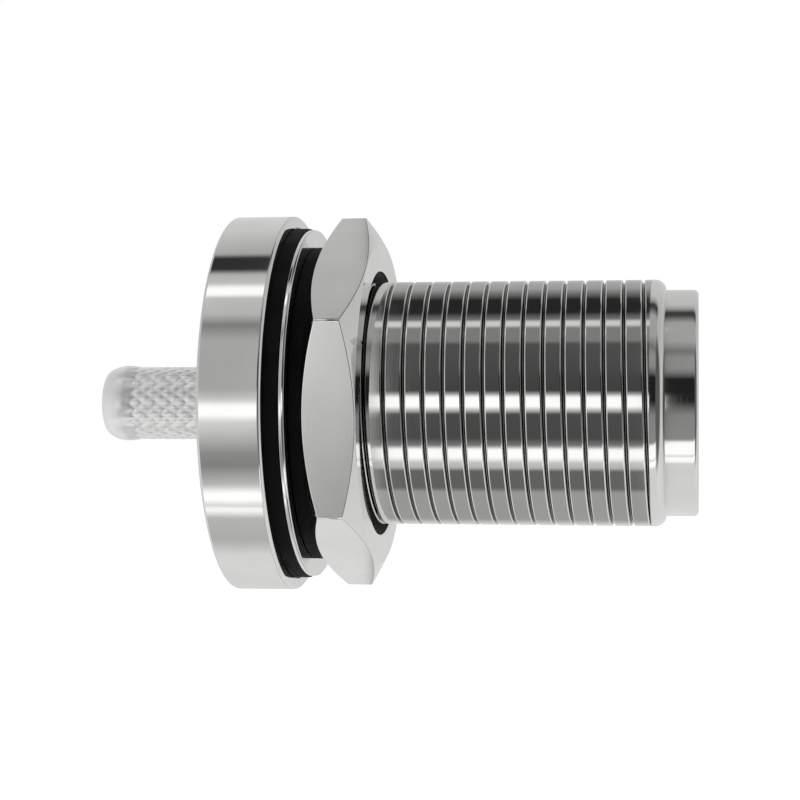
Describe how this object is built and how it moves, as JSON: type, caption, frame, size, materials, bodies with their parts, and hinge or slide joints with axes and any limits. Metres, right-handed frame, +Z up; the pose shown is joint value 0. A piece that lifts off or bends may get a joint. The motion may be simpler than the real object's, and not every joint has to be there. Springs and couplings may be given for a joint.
{
  "type": "n type connector",
  "caption": "Bulkhead coaxial jack: round flange with seal, long threaded barrel with washer, nut seal and hex nut, slotted centre contact and knurled crimp stem.",
  "frame": {"origin": "centre of the flange's front face, where the panel seats", "axes": "+X along the barrel to the mating end, +Z up; the cable end points to -X"},
  "size_m": [0.0392, 0.0246, 0.0246],
  "materials": {
    "nickel": "polished",
    "satin_nickel": "satin",
    "contact_gold": "gloss",
    "white_insulator": "satin",
    "black_rubber": "matte"
  },
  "bodies": {
    "jack": {"shell": "nickel", "crimp_stem": "satin_nickel", "front_insulator": "white_insulator", "rear_insulator": "white_insulator", "centre_contact": "contact_gold", "flange_seal": "black_rubber"},
    "clamp_rings": {"washer": "nickel", "nut_seal": "black_rubber"},
    "nut": {"hex_nut": "nickel"}
  },
  "joints": [
    {"name": "nut_travel", "type": "slide", "parent": "jack", "child": "clamp_rings", "axis": [1, 0, 0], "range_m": [0, 0.01984]},
    {"name": "nut_turn", "type": "hinge", "parent": "clamp_rings", "child": "nut", "pos_m": [0, 0, 0], "axis": [1, 0, 0], "range_deg": [0, 5761]}
  ],
  "couplings": [
    {"joint": "nut_turn", "follows": "nut_travel", "rad_per_m": 5067.1}
  ]
}
